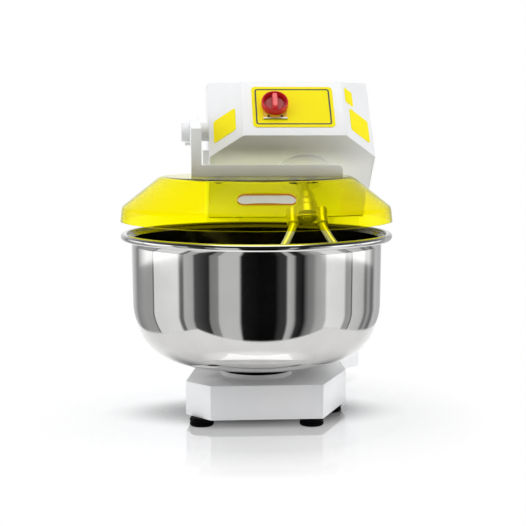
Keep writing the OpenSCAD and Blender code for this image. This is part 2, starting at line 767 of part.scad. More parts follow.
base_frame();
base_plate();
rubber_feet();
foot_bolts();
bearing_collar();
bowl_seal();
bowl_bearings();
bowl_gearbox();
bowl_worm_bearings();
layshaft_bearings();
column_housing();
rear_panel();
rear_screws();
cable_gland();
motor_mount();
motor_body();
motor_fan_cover();
head_housing();
head_underplate();
fork_gearbox();
fork_bearings();
fork_seal();
fork_flange();
fork_worm_bearings();
control_panel();
plain_labels();
switch_plate();
switch_shroud();
switch_screws();
switch_block();
pivot_boss();
guard_sensor();
fork_belt();
bowl_belt();
drive_chain();
bowl();
bowl_hub();
bowl_shaft();
bowl_wheel();
bowl_bolts();
fork_shaft();
fork_hub();
fork_crossbar();
fork_tines();
fork_end_bolt();
fork_wheel();
guard_shell();
guard_bar();
guard_arm();
guard_bolts();
pivot_pin();
pivot_knob();
guard_magnet();
arm_screw();
motor_shaft();
fork_worm();
bowl_worm();
layshaft();
switch_knob();
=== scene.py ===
# %% [markdown]
# # A fork dough mixer, dressed around its frame
# The construction is already made: every casting, sheet and shaft stands where it belongs.
# This notebook gives those pieces their finishes, and remodels the ones whose smooth curves
# catch the eye: the spun bowl, the formed guard, the folded sheets and the switch.

# %% Load the frame
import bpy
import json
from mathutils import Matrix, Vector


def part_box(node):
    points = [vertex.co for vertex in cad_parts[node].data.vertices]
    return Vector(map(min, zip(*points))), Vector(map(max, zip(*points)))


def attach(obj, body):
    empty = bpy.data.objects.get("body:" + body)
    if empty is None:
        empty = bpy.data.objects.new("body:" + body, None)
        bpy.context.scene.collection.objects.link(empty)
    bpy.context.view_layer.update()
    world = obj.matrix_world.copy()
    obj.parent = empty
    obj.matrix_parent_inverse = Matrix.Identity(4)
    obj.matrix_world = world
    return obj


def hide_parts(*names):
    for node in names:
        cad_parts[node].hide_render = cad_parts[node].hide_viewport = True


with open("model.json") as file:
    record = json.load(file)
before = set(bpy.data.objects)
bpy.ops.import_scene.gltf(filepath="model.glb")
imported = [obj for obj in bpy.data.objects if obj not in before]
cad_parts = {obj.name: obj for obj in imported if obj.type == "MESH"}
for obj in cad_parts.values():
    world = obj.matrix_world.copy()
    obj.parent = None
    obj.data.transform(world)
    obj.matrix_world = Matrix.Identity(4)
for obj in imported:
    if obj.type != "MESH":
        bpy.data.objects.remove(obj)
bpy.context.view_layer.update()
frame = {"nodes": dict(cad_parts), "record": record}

# %% Libraries
import json
import math
import bmesh
import bpy
from mathutils import Matrix, Vector
print("Blender", bpy.app.version_string)

# %% [markdown]
# ## Small tools
# Finishes are written as node trees. They could be set up by hand in the shader editor, but
# a list of nodes in code can be read, compared and changed in one place. One function adds
# a node, fills its sockets and links what comes from another node.

# %% Colour and node helpers
MM = 0.001


def paint(hex_colour):
    """Turns an sRGB hex colour into the linear RGBA that a shader expects."""
    parts = [int(hex_colour[i:i + 2], 16) / 255 for i in (0, 2, 4)]
    linear = [c / 12.92 if c <= 0.04045 else ((c + 0.055) / 1.055) ** 2.4 for c in parts]
    return (*linear, 1.0)


def add(tree, kind, settings=None, **attributes):
    """Adds a node. A setting is a value, a socket to link, or a node whose first output is."""
    node = tree.nodes.new("ShaderNode" + kind)
    for name, value in attributes.items():
        setattr(node, name, value)
    for name, value in (settings or {}).items():
        if isinstance(value, bpy.types.Node):
            value = value.outputs[0]
        if isinstance(value, bpy.types.NodeSocket):
            tree.links.new(value, node.inputs[name])
        else:
            node.inputs[name].default_value = value
    return node


print("white is", [round(c, 3) for c in paint("FFFFFF")])

# %% [markdown]
# A real surface is never one flat value. Its colour drifts a little, its gloss is uneven and
# it has a relief, each at a size that comes from how it was made. So every finish starts
# from a plain shader and ends with three patterns: one for colour, one for roughness and one
# for height.

# %% How a finish starts and ends
def start_finish(name, **shader):
    """Starts a material: its tree, its Principled shader and the object's own coordinates."""
    made = bpy.data.materials.new(name)
    made.use_nodes = True
    tree = made.node_tree
    bsdf = tree.nodes["Principled BSDF"]
    for socket, value in shader.items():
        bsdf.inputs[socket.replace("_", " ")].default_value = value
    where = add(tree, "TexCoord").outputs["Object"]
    return made, tree, bsdf, where


def lumps(size_mm):
    """The noise scale whose lumps are size_mm across."""
    return 1 / (size_mm * MM)


def end_finish(tree, bsdf, colour, roughness, relief):
    """Links a pattern each to colour (hex tones), roughness (range), height (mm, strength)."""
    pattern, low, high = colour
    ramp = add(tree, "ValToRGB", {"Fac": pattern})
    for stop, position, tone in zip(ramp.color_ramp.elements, (0.35, 0.65), (low, high)):
        stop.position, stop.color = position, paint(tone)
    tree.links.new(ramp.outputs["Color"], bsdf.inputs["Base Color"])
    pattern, low, high = roughness
    spread = add(tree, "MapRange", {"Value": pattern, "To Min": low, "To Max": high})
    tree.links.new(spread.outputs["Result"], bsdf.inputs["Roughness"])
    pattern, depth_mm, strength = relief
    bump = add(tree, "Bump", {"Height": pattern, "Distance": depth_mm * MM, "Strength": strength})
    tree.links.new(bump.outputs["Normal"], bsdf.inputs["Normal"])


print("lumps of 1 mm have scale", lumps(1))

# %% [markdown]
# ## Finishes
# Powder coat is sprayed as dust and melted in an oven, so it levels to a soft sheen with a
# faint orange peel. The eye sees an even white whose highlights are a little broken. A thin
# clear coat over a broad base gives that sheen without making it look wet.

# %% Powder-coated steel
def powder_coated_steel(name, low, high, rough):
    made, tree, bsdf, where = start_finish(name, Coat_Weight=0.2, Coat_Roughness=0.22)
    peel = add(tree, "TexNoise", {"Vector": where, "Scale": lumps(1.6)})
    cloud = add(tree, "TexNoise", {"Vector": where, "Scale": lumps(90)})
    end_finish(tree, bsdf, (cloud, low, high), (peel, rough - 0.05, rough + 0.05),
               (peel, 0.05, 0.5))
    return made


white_coat = powder_coated_steel("powder_coated_steel_white", "F2F3F4", "F7F7F8", 0.38)
print("made", white_coat.name)

# %% [markdown]
# Spun stainless steel is polished on the lathe. The mirror is nearly perfect, but the wheel
# leaves rings so fine that they only stretch the reflections a little. Real rings are finer
# than can be drawn, so these are about 1 mm apart. The inside of the bowl is rougher, and its
# darker brown-grey colour is painted shade, so that it looks dark under its guard.

# %% Polished stainless steel
RINGS_PER_M = (6, 6, 900)  # long stretches round the bowl, but close together up its side


def polished_stainless(name, low, high, rough):
    made, tree, bsdf, where = start_finish(name, Metallic=1.0)
    stretched = add(tree, "Mapping", {"Vector": where, "Scale": RINGS_PER_M})
    rings = add(tree, "TexNoise", {"Vector": stretched, "Scale": 1.0})
    haze = add(tree, "TexNoise", {"Vector": where, "Scale": lumps(60)})
    end_finish(tree, bsdf, (haze, low, high), (haze, rough, rough + 0.04), (rings, 0.004, 0.25))
    return made


stainless = polished_stainless("polished_stainless_steel", "DAD9D7", "E0DFDD", 0.035)
# The inside's finish: rougher, with painted shade in its darker brown-grey colour
shaded_inside_stainless = polished_stainless("dull_stainless_steel_painted_shade", "6E6A59", "767260", 0.13)
print("made", stainless.name, "and", shaded_inside_stainless.name)

# %% [markdown]
# Shafts and bolts are turned, and then zinc-plated or left bright, so their gloss is broken
# by a fine grain of tool marks. The fork is satin stainless steel, and its warm yellow tint is
# painted light: it stands in for the yellow light that reaches it through the guard. Full metal
# would mirror the dark of the bowl, so a quarter of it scatters light and keeps it pale. The
# worm wheels are cast bronze.

# %% Turned steel and bronze
def turned_steel(name, low, high, rough, **shader):
    made, tree, bsdf, where = start_finish(name, **{"Metallic": 1.0, **shader})
    grain = add(tree, "TexNoise", {"Vector": where, "Scale": lumps(1.2), "Detail": 4})
    end_finish(tree, bsdf, (grain, low, high), (grain, rough, rough + 0.12), (grain, 0.01, 0.4))
    return made


# A warm yellow tint is painted into this steel's colour, standing in for the guard's yellow light
satin_painted_yellow_light = turned_steel("satin_stainless_steel_painted_yellow_light", "DAD8BE", "E4E2CA", 0.3, Metallic=0.75)
zinc = turned_steel("zinc_plated_steel", "A9ACAE", "C2C5C6", 0.28)
bronze = turned_steel("cast_bronze", "9C6B36", "B98346", 0.32)
print("made", satin_painted_yellow_light.name, zinc.name, bronze.name)

# %% [markdown]
# The guard is clear polycarbonate, tinted in the mass. Light crosses two walls before it
# reaches the eye, so the colour lives in the transmission and the surface stays white-glossy.
# Solid polycarbonate bends light more than this, but a formed guard this thin hardly shifts
# what lies behind it, so the IOR is lower.

# %% Tinted polycarbonate
def tinted_polycarbonate(name, low, high):
    made, tree, bsdf, where = start_finish(name, Transmission_Weight=1.0, IOR=1.12)
    flow = add(tree, "TexNoise", {"Vector": where, "Scale": lumps(220)})
    ripple = add(tree, "TexNoise", {"Vector": where, "Scale": lumps(45), "Detail": 1})
    end_finish(tree, bsdf, (flow, low, high), (ripple, 0.015, 0.04), (ripple, 0.03, 0.3))
    return made


polycarbonate = tinted_polycarbonate("tinted_polycarbonate", "FFF600", "FFF900")
print("made", polycarbonate.name)

# %% [markdown]
# Moulded and printed parts take the grain of their tool: a fine one on ABS and nylon, a
# coarse one on castings. The panel and labels are printed polyester film, flat and almost
# without gloss. Feet and seals are moulded rubber, so dull that they look black.

# %% Films, plastics, rubber and iron
def moulded(name, low, high, rough, grain_mm, depth_mm, **shader):
    made, tree, bsdf, where = start_finish(name, Coat_Roughness=0.12, **shader)
    grain = add(tree, "TexNoise", {"Vector": where, "Scale": lumps(grain_mm), "Detail": 3})
    end_finish(tree, bsdf, (grain, low, high), (grain, rough - 0.05, rough + 0.05),
               (grain, depth_mm, 0.5))
    return made


film = moulded("printed_polyester_film", "FEEC02", "FFF006", 0.5, 0.8, 0.004,
               Specular_IOR_Level=0.12)
ink = moulded("black_screen_ink", "17170F", "22221A", 0.35, 3, 0.01)
# This lighter, pinker red also paints a highlight on the switch grip
red_abs = moulded("moulded_abs_red", "E84E52", "F25E60", 0.30, 2, 0.02, Coat_Weight=0.2)
signal_red_abs = moulded("moulded_abs_signal_red", "CC1F28", "D6262E", 0.30, 2, 0.02,
                         Coat_Weight=0.2)
# A darker copy of the red: painted shade for the disc in the dish's hollow
red_abs_painted_shade = moulded("moulded_abs_red_painted_shade", "A3151C", "B21B22", 0.38, 2, 0.02)
orange_abs = moulded("moulded_abs_orange_yellow", "E9B208", "F0BC10", 0.40, 2, 0.02)
grey_abs = moulded("moulded_abs_light_grey", "ECEEEF", "F4F5F6", 0.42, 2, 0.03)
nylon = moulded("moulded_nylon_black", "1A1A1B", "2A2A2B", 0.45, 1.5, 0.03)
rubber = moulded("moulded_rubber_black", "050505", "0A0A0B", 0.55, 1.5, 0.01,
                 Specular_IOR_Level=0.06)
iron = moulded("painted_cast_iron", "43474A", "50555A", 0.55, 2.5, 0.12)
print("finishes so far:", len(bpy.data.materials))

# %% [markdown]
# ## Dressing the construction
# The record says what each node is made of, so most nodes take their finish by its name.
# A few differ from their neighbours, and are dressed one by one.

# %% Give every node its finish
FINISHES = {
    "white_powder_coat": white_coat, "polished_stainless": stainless, "zinc_steel": zinc,
    "yellow_polycarbonate": polycarbonate, "yellow_panel": film, "red_plastic": red_abs,
    "black_rubber": rubber, "black_plastic": nylon, "light_plastic": grey_abs,
    "grey_cast_iron": iron, "bronze": bronze,
}
slot_of = {part["node"]: part["material_slot"] for part in frame["record"]["subparts"]}
body_of = {n: b for b, ns in frame["record"]["behaviour"]["bodies"].items() for n in ns}


def dress(obj, finish):
    obj.data.materials.clear()
    obj.data.materials.append(finish)


for node_name, node_object in frame["nodes"].items():
    dress(node_object, FINISHES[slot_of[node_name]])
# The fork carries the guard's yellow light painted into its colour
for fork_node in ("fork_hub", "fork_crossbar", "fork_tines", "fork_shaft", "fork_end_bolt"):
    dress(frame["nodes"][fork_node], satin_painted_yellow_light)
dress(frame["nodes"]["switch_plate"], orange_abs)
for arm_node in ("arm_screw", "guard_magnet"):
    dress(frame["nodes"][arm_node], grey_abs)
print("dressed", len(frame["nodes"]), "nodes")

# %% [markdown]
# ## Building tools
# Three ways of making a mesh cover the whole machine. A lathe turns a profile, with its
# corners rounded first. A stack skins one outline after another. And a folded sheet is taken
# from its construction piece, with the bends rounded as a press brake leaves them. Smooth
# shading flows over curves, so an edge stays crisp only where its faces meet at an angle.

# %% Pieces and their shading
CRISP = 35  # degrees


def shade(obj, crisp=CRISP):
    """Smooth shading, but crisp where faces meet at more than the angle."""
    mesh = obj.data
    mesh.shade_smooth()
    work = bmesh.new()
    work.from_mesh(mesh)
    for edge in work.edges:
        if len(edge.link_faces) == 2:
            edge.smooth = edge.calc_face_angle(0) < math.radians(crisp)
    work.to_mesh(mesh)
    work.free()


def place_piece(name, mesh, finish, body, crisp=CRISP):
    """Stands a mesh in the scene, finished, shaded and riding on its body."""
    obj = bpy.data.objects.new(name, mesh)
    bpy.context.scene.collection.objects.link(obj)
    dress(obj, finish)
    shade(obj, crisp)
    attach(obj, body)
    return obj


def new_piece(name, verts, faces, finish, body):
    """A piece from points and faces, with points that fall together merged."""
    mesh = bpy.data.meshes.new(name)
    mesh.from_pydata(verts, [], faces)
    mesh.validate()
    work = bmesh.new()
    work.from_mesh(mesh)
    bmesh.ops.remove_doubles(work, verts=work.verts, dist=1e-6)
    bmesh.ops.dissolve_degenerate(work, edges=work.edges, dist=1e-7)
    bmesh.ops.recalc_face_normals(work, faces=work.faces)
    work.to_mesh(mesh)
    work.free()
    return place_piece(name, mesh, finish, body)


print("edges stay crisp above", CRISP, "degrees")

# %% Rounded paths and the lathe
def rounded(points, radii, steps=8):
    """Rounds the inner corners of an open path, each by its own radius."""
    out = [Vector(points[0])]
    for before, corner, after, radius in zip(points, points[1:], points[2:], radii):
        a, b, c = Vector(before), Vector(corner), Vector(after)
        u, v = (a - b).normalized(), (c - b).normalized()
        half = u.angle(v) / 2
        reach = min(radius / math.tan(half), (a - b).length * 0.49, (c - b).length * 0.49)
        for k in range(steps + 1):
            s = k / steps
            out.append((b + u * reach) * (1 - s) ** 2 + b * 2 * s * (1 - s)
                       + (b + v * reach) * s * s)
    return out + [Vector(points[-1])]


def lathe(name, profile, centre, finish, body, turns):
    """Turns a closed profile of (radius, height) points about a vertical axis."""
    verts, faces, count = [], [], len(profile)
    for i in range(turns):
        a = 2 * math.pi * i / turns
        for r, z in profile:
            verts.append((centre[0] + r * math.cos(a), centre[1] + r * math.sin(a), z))
    for i in range(turns):
        j = (i + 1) % turns
        for k in range(count):
            m = (k + 1) % count
            faces.append((i * count + k, j * count + k, j * count + m, i * count + m))
    return new_piece(name, verts, faces, finish, body)


print("a rounded corner has", len(rounded([(0, 0), (1, 0), (1, 1)], [0.1])) - 2, "points")

# %% [markdown]
# ## Folded sheets
# The housings, the base and the guard's bar and arm are bent from sheet steel. A press brake
# can't leave a sharp corner, so each bend has a small radius that catches the light. The
# construction pieces are exact but sharp. Their triangles are joined into plates, and then
# every edge between two plates is bevelled by the radius of its bend.

# %% Folded sheets from their construction pieces
BENDS_MM = {"head_housing": 1.2, "column_housing": 1.2, "base_frame": 1.2, "guard_bar": 0.8,
            "guard_arm": 1.5}
FLAT, FOLD = math.radians(1), math.radians(25)


def folded(node, radius_mm):
    """Copies a node's walls, joins their triangles into plates and rounds the bends."""
    work = bmesh.new()
    work.from_mesh(frame["nodes"][node].data)
    bmesh.ops.remove_doubles(work, verts=work.verts, dist=2e-5)
    bmesh.ops.dissolve_limit(work, angle_limit=FLAT, verts=work.verts, edges=work.edges)
    sharp = [e for e in work.edges if len(e.link_faces) == 2 and e.calc_face_angle(0) > FOLD]
    bmesh.ops.bevel(work, geom=sharp, offset=radius_mm * MM, offset_type="OFFSET",
                    segments=3, profile=0.5, affect="EDGES", clamp_overlap=True)
    mesh = bpy.data.meshes.new(node + "_folded")
    work.to_mesh(mesh)
    work.free()
    obj = place_piece(node + "_folded", mesh, FINISHES[slot_of[node]], body_of[node],
                      crisp=40)
    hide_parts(node)
    return obj


for sheet_node, bend_mm in BENDS_MM.items():
    piece = folded(sheet_node, bend_mm)
    print(piece.name, len(piece.data.polygons), "faces")

# %% [markdown]
# ## The bowl
# It is spun from one disc of stainless steel: flat in the middle, one generous curve, an
# upright wall, and a lip rolled over a wire. It could be sculpted or subdivided from a few
# faces, but a lathe profile makes it exactly as the spinner does. The curve tightens towards
# the floor, so it is made of three arcs that meet without a corner.

# %% Bowl profile
bowl_low, bowl_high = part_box("bowl")
bowl_axis = ((bowl_low.x + bowl_high.x) / 2, (bowl_low.y + bowl_high.y) / 2)
rim_r = (bowl_high.x - bowl_low.x) / 2
wall_r = rim_r - 22 * MM
neck_z = bowl_high.z - 21 * MM
bead_r = 7 * MM
skin = 2 * MM
ARCS = [(141 * MM, 24), (96 * MM, 63), (72 * MM, 90)]  # radius, and the lean where it ends


def bowl_side(inset, steps=16):
    """Points from the neck down the wall, round the three arcs, to the middle of the floor."""
    side = [(wall_r + 1 * MM - inset, neck_z)]
    # A second ring close under the neck keeps the neck's shading off the wall
    side.append((wall_r + 0.98 * MM - inset, neck_z - 2.5 * MM))
    drop = sum((a - b) * math.sin(math.radians(end)) for (a, end), (b, _) in zip(ARCS, ARCS[1:]))
    x, z, lean = wall_r - ARCS[0][0], bowl_low.z + ARCS[-1][0] + drop, 0
    for i, (r, end) in enumerate(ARCS):
        for k in range(steps + 1):
            q = math.radians(lean + (end - lean) * k / steps)
            side.append((x + (r - inset) * math.cos(q), z - (r - inset) * math.sin(q)))
        if i + 1 < len(ARCS):
            inward = r - ARCS[i + 1][0]
            x, z = x + inward * math.cos(q), z - inward * math.sin(q)
        lean = end
    return side + [(0, bowl_low.z + inset)]


bead = [(rim_r - bead_r + bead_r * math.cos(q), bowl_high.z - bead_r + bead_r * math.sin(q))
        for q in (math.radians(-130 + 300 * k / 20) for k in range(21))]
flare = [(wall_r + 3.5 * MM, bowl_high.z - 6.5 * MM), (wall_r - 1 * MM, bowl_high.z - 12 * MM)]
bowl_profile = bowl_side(0)[::-1] + [(wall_r + 3.5 * MM, bowl_high.z - 15 * MM)]
bowl_profile += bead + flare + bowl_side(skin)
print("bowl rim", round(rim_r * 2000), "mm across,", len(bowl_profile), "profile points")

# %% Bowl, turned
bowl = lathe("spun_bowl", bowl_profile, bowl_axis, stainless, "bowl", 192)
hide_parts("bowl")
# The inside is rougher and darkened with painted shade, so its faces get a finish of their own
bowl.data.materials.append(shaded_inside_stainless)
lip_r, lip_z = rim_r - 14.5 * MM, bowl_high.z - 5 * MM
for face in bowl.data.polygons:
    spoke = Vector((face.center.x - bowl_axis[0], face.center.y - bowl_axis[1], 0))
    facing = face.normal.dot(spoke.normalized())
    inside = spoke.length < lip_r and face.center.z < lip_z
    if facing < -0.5 or (inside and (facing < -0.05 or face.normal.z > 0.5)):
        face.material_index = 1
print("bowl", len(bowl.data.polygons), "faces")

# %% [markdown]
# ## The guard
# It is vacuum-formed from one sheet, so every fold is round. Its skirt and its cone share the
# bowl's axis. A subdivided cage would only come near them, but a turned profile is exact.

# %% Guard profile
guard_low, guard_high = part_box("guard_shell")
guard_t = 4 * MM
skirt_r, skirt_z = rim_r - 3 * MM, guard_low.z + 27 * MM
top_r = 187 * MM
outer = rounded([(rim_r, guard_low.z), (skirt_r, skirt_z), (top_r, guard_high.z),
                 (0, guard_high.z)], [14 * MM, 22 * MM])
inner = rounded([(rim_r - guard_t, guard_low.z), (skirt_r - guard_t, skirt_z - 1.6 * MM),
                 (top_r - 1.5 * MM, guard_high.z - guard_t), (0, guard_high.z - guard_t)],
                [11 * MM, 19 * MM])
guard = lathe("formed_guard", [(p.x, p.y) for p in outer + inner[::-1]], bowl_axis,
              polycarbonate, "guard", 192)
print("guard", round((guard_high.z - guard_low.z) * 1000), "mm high")

# %% [markdown]
# The formed shell is trimmed by a router: a straight gap for the head, and a slot with two
# round ends where a hand can add flour. Both are cut with closed solids, because an exact
# boolean leaves the clean, square edges of a router.

# %% Cutters
def cutter(verts, faces):
    """A closed mesh that is only there to cut with."""
    mesh = bpy.data.meshes.new("cutter")
    mesh.from_pydata(verts, [], faces)
    obj = bpy.data.objects.new("cutter", mesh)
    bpy.context.scene.collection.objects.link(obj)
    return obj


def block(low, high):
    """A plain cutter box between two corners."""
    x, y, z = zip(low, high)
    verts = [(a, b, c) for a in x for b in y for c in z]
    return cutter(verts, [(0, 1, 3, 2), (4, 6, 7, 5), (0, 4, 5, 1), (2, 3, 7, 6),
                          (0, 2, 6, 4), (1, 5, 7, 3)])


def stadium(length, width, depth, steps=12):
    """A cutter with two round ends, length along X."""
    half, r = length / 2 - width / 2, width / 2
    ring = [(half + r * math.cos(q), r * math.sin(q))
            for q in (math.pi * (k / steps - 0.5) for k in range(steps + 1))]
    ring += [(-x, -y) for x, y in ring]
    n = len(ring)
    faces = [tuple(range(n))[::-1], tuple(range(n, 2 * n))]
    faces += [(k, (k + 1) % n, n + (k + 1) % n, n + k) for k in range(n)]
    return cutter([(x, y, s * depth / 2) for s in (-1, 1) for x, y in ring], faces)


def cut(obj, tool):
    """Cuts one closed mesh out of another and throws the cutter away."""
    step = obj.modifiers.new("cut", "BOOLEAN")
    step.object, step.operation, step.solver = tool, "DIFFERENCE", "EXACT"
    depsgraph = bpy.context.evaluated_depsgraph_get()
    result = bpy.data.meshes.new_from_object(obj.evaluated_get(depsgraph))
    obj.modifiers.clear()
    obj.data = result
    bpy.data.objects.remove(tool)


print("uncut guard", len(guard.data.polygons), "faces")

# %% Guard, cut
beyond = 20 * MM  # how far a cutter reaches past what it cuts
cut(guard, block((-95 * MM, bowl_axis[1] + 118 * MM, guard_low.z - beyond),
                 (190 * MM, bowl_axis[1] + 400 * MM, guard_high.z + beyond)))
# The hand slot lies square on the front of the cone, halfway up
slot_r = (skirt_r + top_r) / 2
slope = math.atan2(guard_high.z - skirt_z, skirt_r - top_r)
slot_place = (Matrix.Translation((4 * MM, bowl_axis[1] - slot_r, (skirt_z + guard_high.z) / 2))
              @ Matrix.Rotation(slope, 4, "X"))
hand_slot = stadium(106 * MM, 27.5 * MM, 40 * MM)
hand_slot.matrix_world = slot_place
bpy.context.view_layer.update()
cut(guard, hand_slot)
dress(guard, polycarbonate)
shade(guard)
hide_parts("guard_shell")
print("guard", len(guard.data.polygons), "faces, cone at", round(math.degrees(slope)), "degrees")

# %% [markdown]
# ## Small parts
# The switch sits in a red dish with a raised grip across it, and the panel carries a black
# screen-printed frame. They could be placed one by one in the tilted face. Instead they are
# drawn flat, in millimetres, and one matrix sets them all on it.

# %% Frames on the head's face
switch_joint = next(j for j in frame["record"]["behaviour"]["joints"] if j["name"] == "switch_turn")
face_out = Vector(switch_joint["axis"]).normalized()
face_up = Vector((0, face_out.z, -face_out.y))


def face_frame(origin):
    """Millimetres to metres, X to the right, Y up the face and Z out of it."""
    columns = (Vector((1, 0, 0)), face_up, face_out)
    turn = Matrix([[c[i] for c in columns] for i in range(3)]).to_4x4()
    return Matrix.Translation(origin) @ turn @ Matrix.Scale(MM, 4)


print("the face leans back", round(math.degrees(math.asin(face_out.z))), "degrees")

# %% Outlines and stacks
def round_rect(width, height, radius, steps=6):
    """Corner points of a rounded rectangle about the origin."""
    points = []
    for k, (sx, sy) in enumerate(((1, 1), (-1, 1), (-1, -1), (1, -1))):
        for n in range(steps + 1):
            q = math.pi / 2 * (k + n / steps)
            points.append((sx * (width / 2 - radius) + radius * math.cos(q),
                           sy * (height / 2 - radius) + radius * math.sin(q)))
    return points


def oval(length, width, steps=10):
    """A bar outline with round ends, length along Y."""
    r = width / 2
    top = [(r * math.cos(q), length / 2 - r + r * math.sin(q))
           for q in (math.pi * k / steps for k in range(steps + 1))]
    return top + [(-x, -y) for x, y in top]


def at(points, z):
    """Lifts a flat outline to a height."""
    return [(x, y, z) for x, y in points]


def stacked(name, loops, place, finish, body, closed=False):
    """Skins a stack of equal loops of (x, y, z); closed joins the last loop to the first."""
    n, verts, faces = len(loops[0]), [], []
    for loop in loops:
        verts += [place @ Vector(p) for p in loop]
    for i in range(len(loops) if closed else len(loops) - 1):
        a, b = i * n, (i + 1) % len(loops) * n
        faces += [(a + k, a + (k + 1) % n, b + (k + 1) % n, b + k) for k in range(n)]
    if not closed:
        faces += [tuple(range(n))[::-1], tuple(range(len(verts) - n, len(verts)))]
    return new_piece(name, verts, faces, finish, body)


print("a rounded rectangle has", len(round_rect(2, 1, 0.2)), "points")

# %% [markdown]
# The frame on the panel is printed ink. A texture could draw it, but a line as thick as a
# layer of ink stays sharp at any distance. It lies just proud of the film.

# %% Panel frame
panel_low, panel_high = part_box("control_panel")
on_panel = face_frame((panel_low + panel_high) / 2)
line_w, film_z, ink_z = 3.2, 0.7, 0.95
line_outer = round_rect(157, 99, 6)
line_inner = round_rect(157 - 2 * line_w, 99 - 2 * line_w, 3.4)
stacked("panel_line", [at(line_outer, film_z), at(line_outer, ink_z), at(line_inner, ink_z),
                       at(line_inner, film_z)], on_panel, ink, "root",
        closed=True)
print("panel line", line_w, "mm wide")

# %% [markdown]
# The dish and the disc under the grip are moulded, round and thick-edged, so they are
# turned. The disc's darker red is painted shade in the dish's hollow. The grip is a bar with a
# soft top: one outline, a little smaller at each step up, and its lighter, pinker red is a
# painted highlight.

# %% Rotary switch
at_switch = face_frame(switch_joint["pos_m"])
DISH = [(12.5, 4.6), (27, 4.6), (28, 6), (28, 15.5), (27, 18.5), (25.6, 19.6), (24.4, 19),
        (22.6, 13), (21.2, 7.2), (12.5, 7.0)]
dish = lathe("switch_dish", DISH, (0, 0), signal_red_abs, "root", 72)
dish.data.transform(at_switch)
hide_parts("switch_shroud")

DISC = [(0.5, 7.6), (18.6, 7.6), (19.5, 8.4), (19.5, 9.6), (18.8, 10.2), (0.5, 10.2)]
# The disc's darker red is painted shade in the dish's hollow
knob = lathe("switch_disc", DISC, (0, 0), red_abs_painted_shade, body_of["switch_knob"],
             72)
knob.data.transform(at_switch)
# The grip's lighter, pinker red is a painted highlight
grip = stacked("switch_grip", [
    at(oval(38, 11), 9), at(oval(38, 11), 20), at(oval(37, 10), 22), at(oval(34.5, 7.5), 23)],
    at_switch, red_abs, body_of["switch_knob"])
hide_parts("switch_knob")
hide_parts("switch_knob")
print("switch", sum(len(p.data.polygons) for p in (dish, knob, grip)), "faces")

# %% [markdown]
# Behind the dish stands a moulded plate with a soft front edge. A thin grey strip along its
# lower edge is painted shade on that edge, and two black screws hold it.

# %% Switch plate and its two screws
plate_drop = 6  # mm from the switch's axis down to the middle of the plate
plate_edge = round_rect(50, 60, 4)
low_plate = [(x, y - plate_drop) for x, y in plate_edge]
plate_face = [(x * 0.98, y * 0.985 - plate_drop) for x, y in plate_edge]
plate = stacked("switch_back_plate", [at(low_plate, 1.6), at(low_plate, 4.1),
                                      at(plate_face, 4.5)], at_switch, orange_abs,
                "root")
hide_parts("switch_plate")
# A grey strip under the plate: painted shade on the plate's lower edge
shade_strip_edge = [(x, y - 35.2) for x, y in round_rect(50, 2.6, 1)]
stacked("switch_plate_painted_shade_strip", [at(shade_strip_edge, 1.7), at(shade_strip_edge, 4.9)], at_switch, zinc,
        "root")
SCREW = [(0.4, 4.4), (2.7, 4.4), (2.7, 5.4), (2.1, 5.9), (0.4, 5.6)]
for side, side_name in ((-1, "left"), (1, "right")):
    screw = lathe("switch_screw_" + side_name, SCREW, (side * 13.7, -30), nylon, "root",
                  24)
    screw.data.transform(at_switch)
    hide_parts("switch_screws")
print("plate", len(plate.data.polygons), "faces")

# %% [markdown]
# A black ring laps over the top of the collar under the bowl and darkens the gap there. It
# is round, so its section is turned.

# %% Dark ring under the bowl
collar_low, collar_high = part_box("bearing_collar")
collar_r = (collar_high.x - collar_low.x) / 2
DARK_RING = [(0.4, -4.5), (0.4, 1), (-1, 5.5), (-7, 5.5), (-7, 0.3), (0.05, 0.3), (0.05, -4.5)]
# A black ring that darkens the gap between the collar and the bowl
lathe("collar_dark_ring", [(collar_r + x * MM, collar_high.z + z * MM) for x, z in DARK_RING],
      bowl_axis, rubber, "root", 96)
print("collar", [round(v * 1000, 1) for v in (collar_r, collar_high.z)])

# %% [markdown]
# A routed edge of tinted sheet gathers light along the whole sheet, so it glows deeper than
# the face. The rim of the hand slot is that edge: a thin ring that follows the cone.

# %% Rim of the hand slot
cut_edge = moulded("cut_polycarbonate_edge", "D8801C", "E09428", 0.3, 1.5, 0.02)
bend_r = slot_r / math.sin(slope)
edge_top, edge_bottom = 0.1, -4  # mm from the face of the sheet


def on_cone(points, z):
    """Turns an outline in mm along the slot and follows the cone's roundness."""
    return [(y, x, z * MM - y * y / (2 * bend_r)) for x, y in ((x * MM, y * MM) for x, y in points)]


slot_outer, slot_inner = oval(106.2, 27.7), oval(104.8, 26.3)
slot_rim = stacked("hand_slot_edge", [
    on_cone(slot_outer, edge_top), on_cone(slot_inner, edge_top),
    on_cone(slot_inner, edge_bottom), on_cone(slot_outer, edge_bottom)],
    slot_place, cut_edge, "guard", closed=True)
print("slot rim", len(slot_rim.data.polygons), "faces")

# %% [markdown]
# ## Studio
# A pale table and a white room. The polished bowl shows the room as upright bands, so the
# room has bright panels at both sides and a dark opening where the camera stands. Such a
# room could be built from cards and walls. A world that depends on direction is simpler: it
# puts every band at its exact place, with the softness of its own edge.

# %% Directions in the room
scene = bpy.context.scene
scene.view_settings.view_transform = "Standard"
world = bpy.data.worlds.new("studio")
scene.world = world
world.use_nodes = True
room = world.node_tree
room.nodes.clear()
direction = add(room, "SeparateXYZ", {"Vector": add(room, "TexCoord").outputs["Generated"]})
ahead = add(room, "Math", {0: direction.outputs["Y"], 1: -1.0}, operation="MULTIPLY")
turn = add(room, "Math", {0: direction.outputs["X"], 1: ahead}, operation="ARCTAN2")
print("view transform:", scene.view_settings.view_transform)

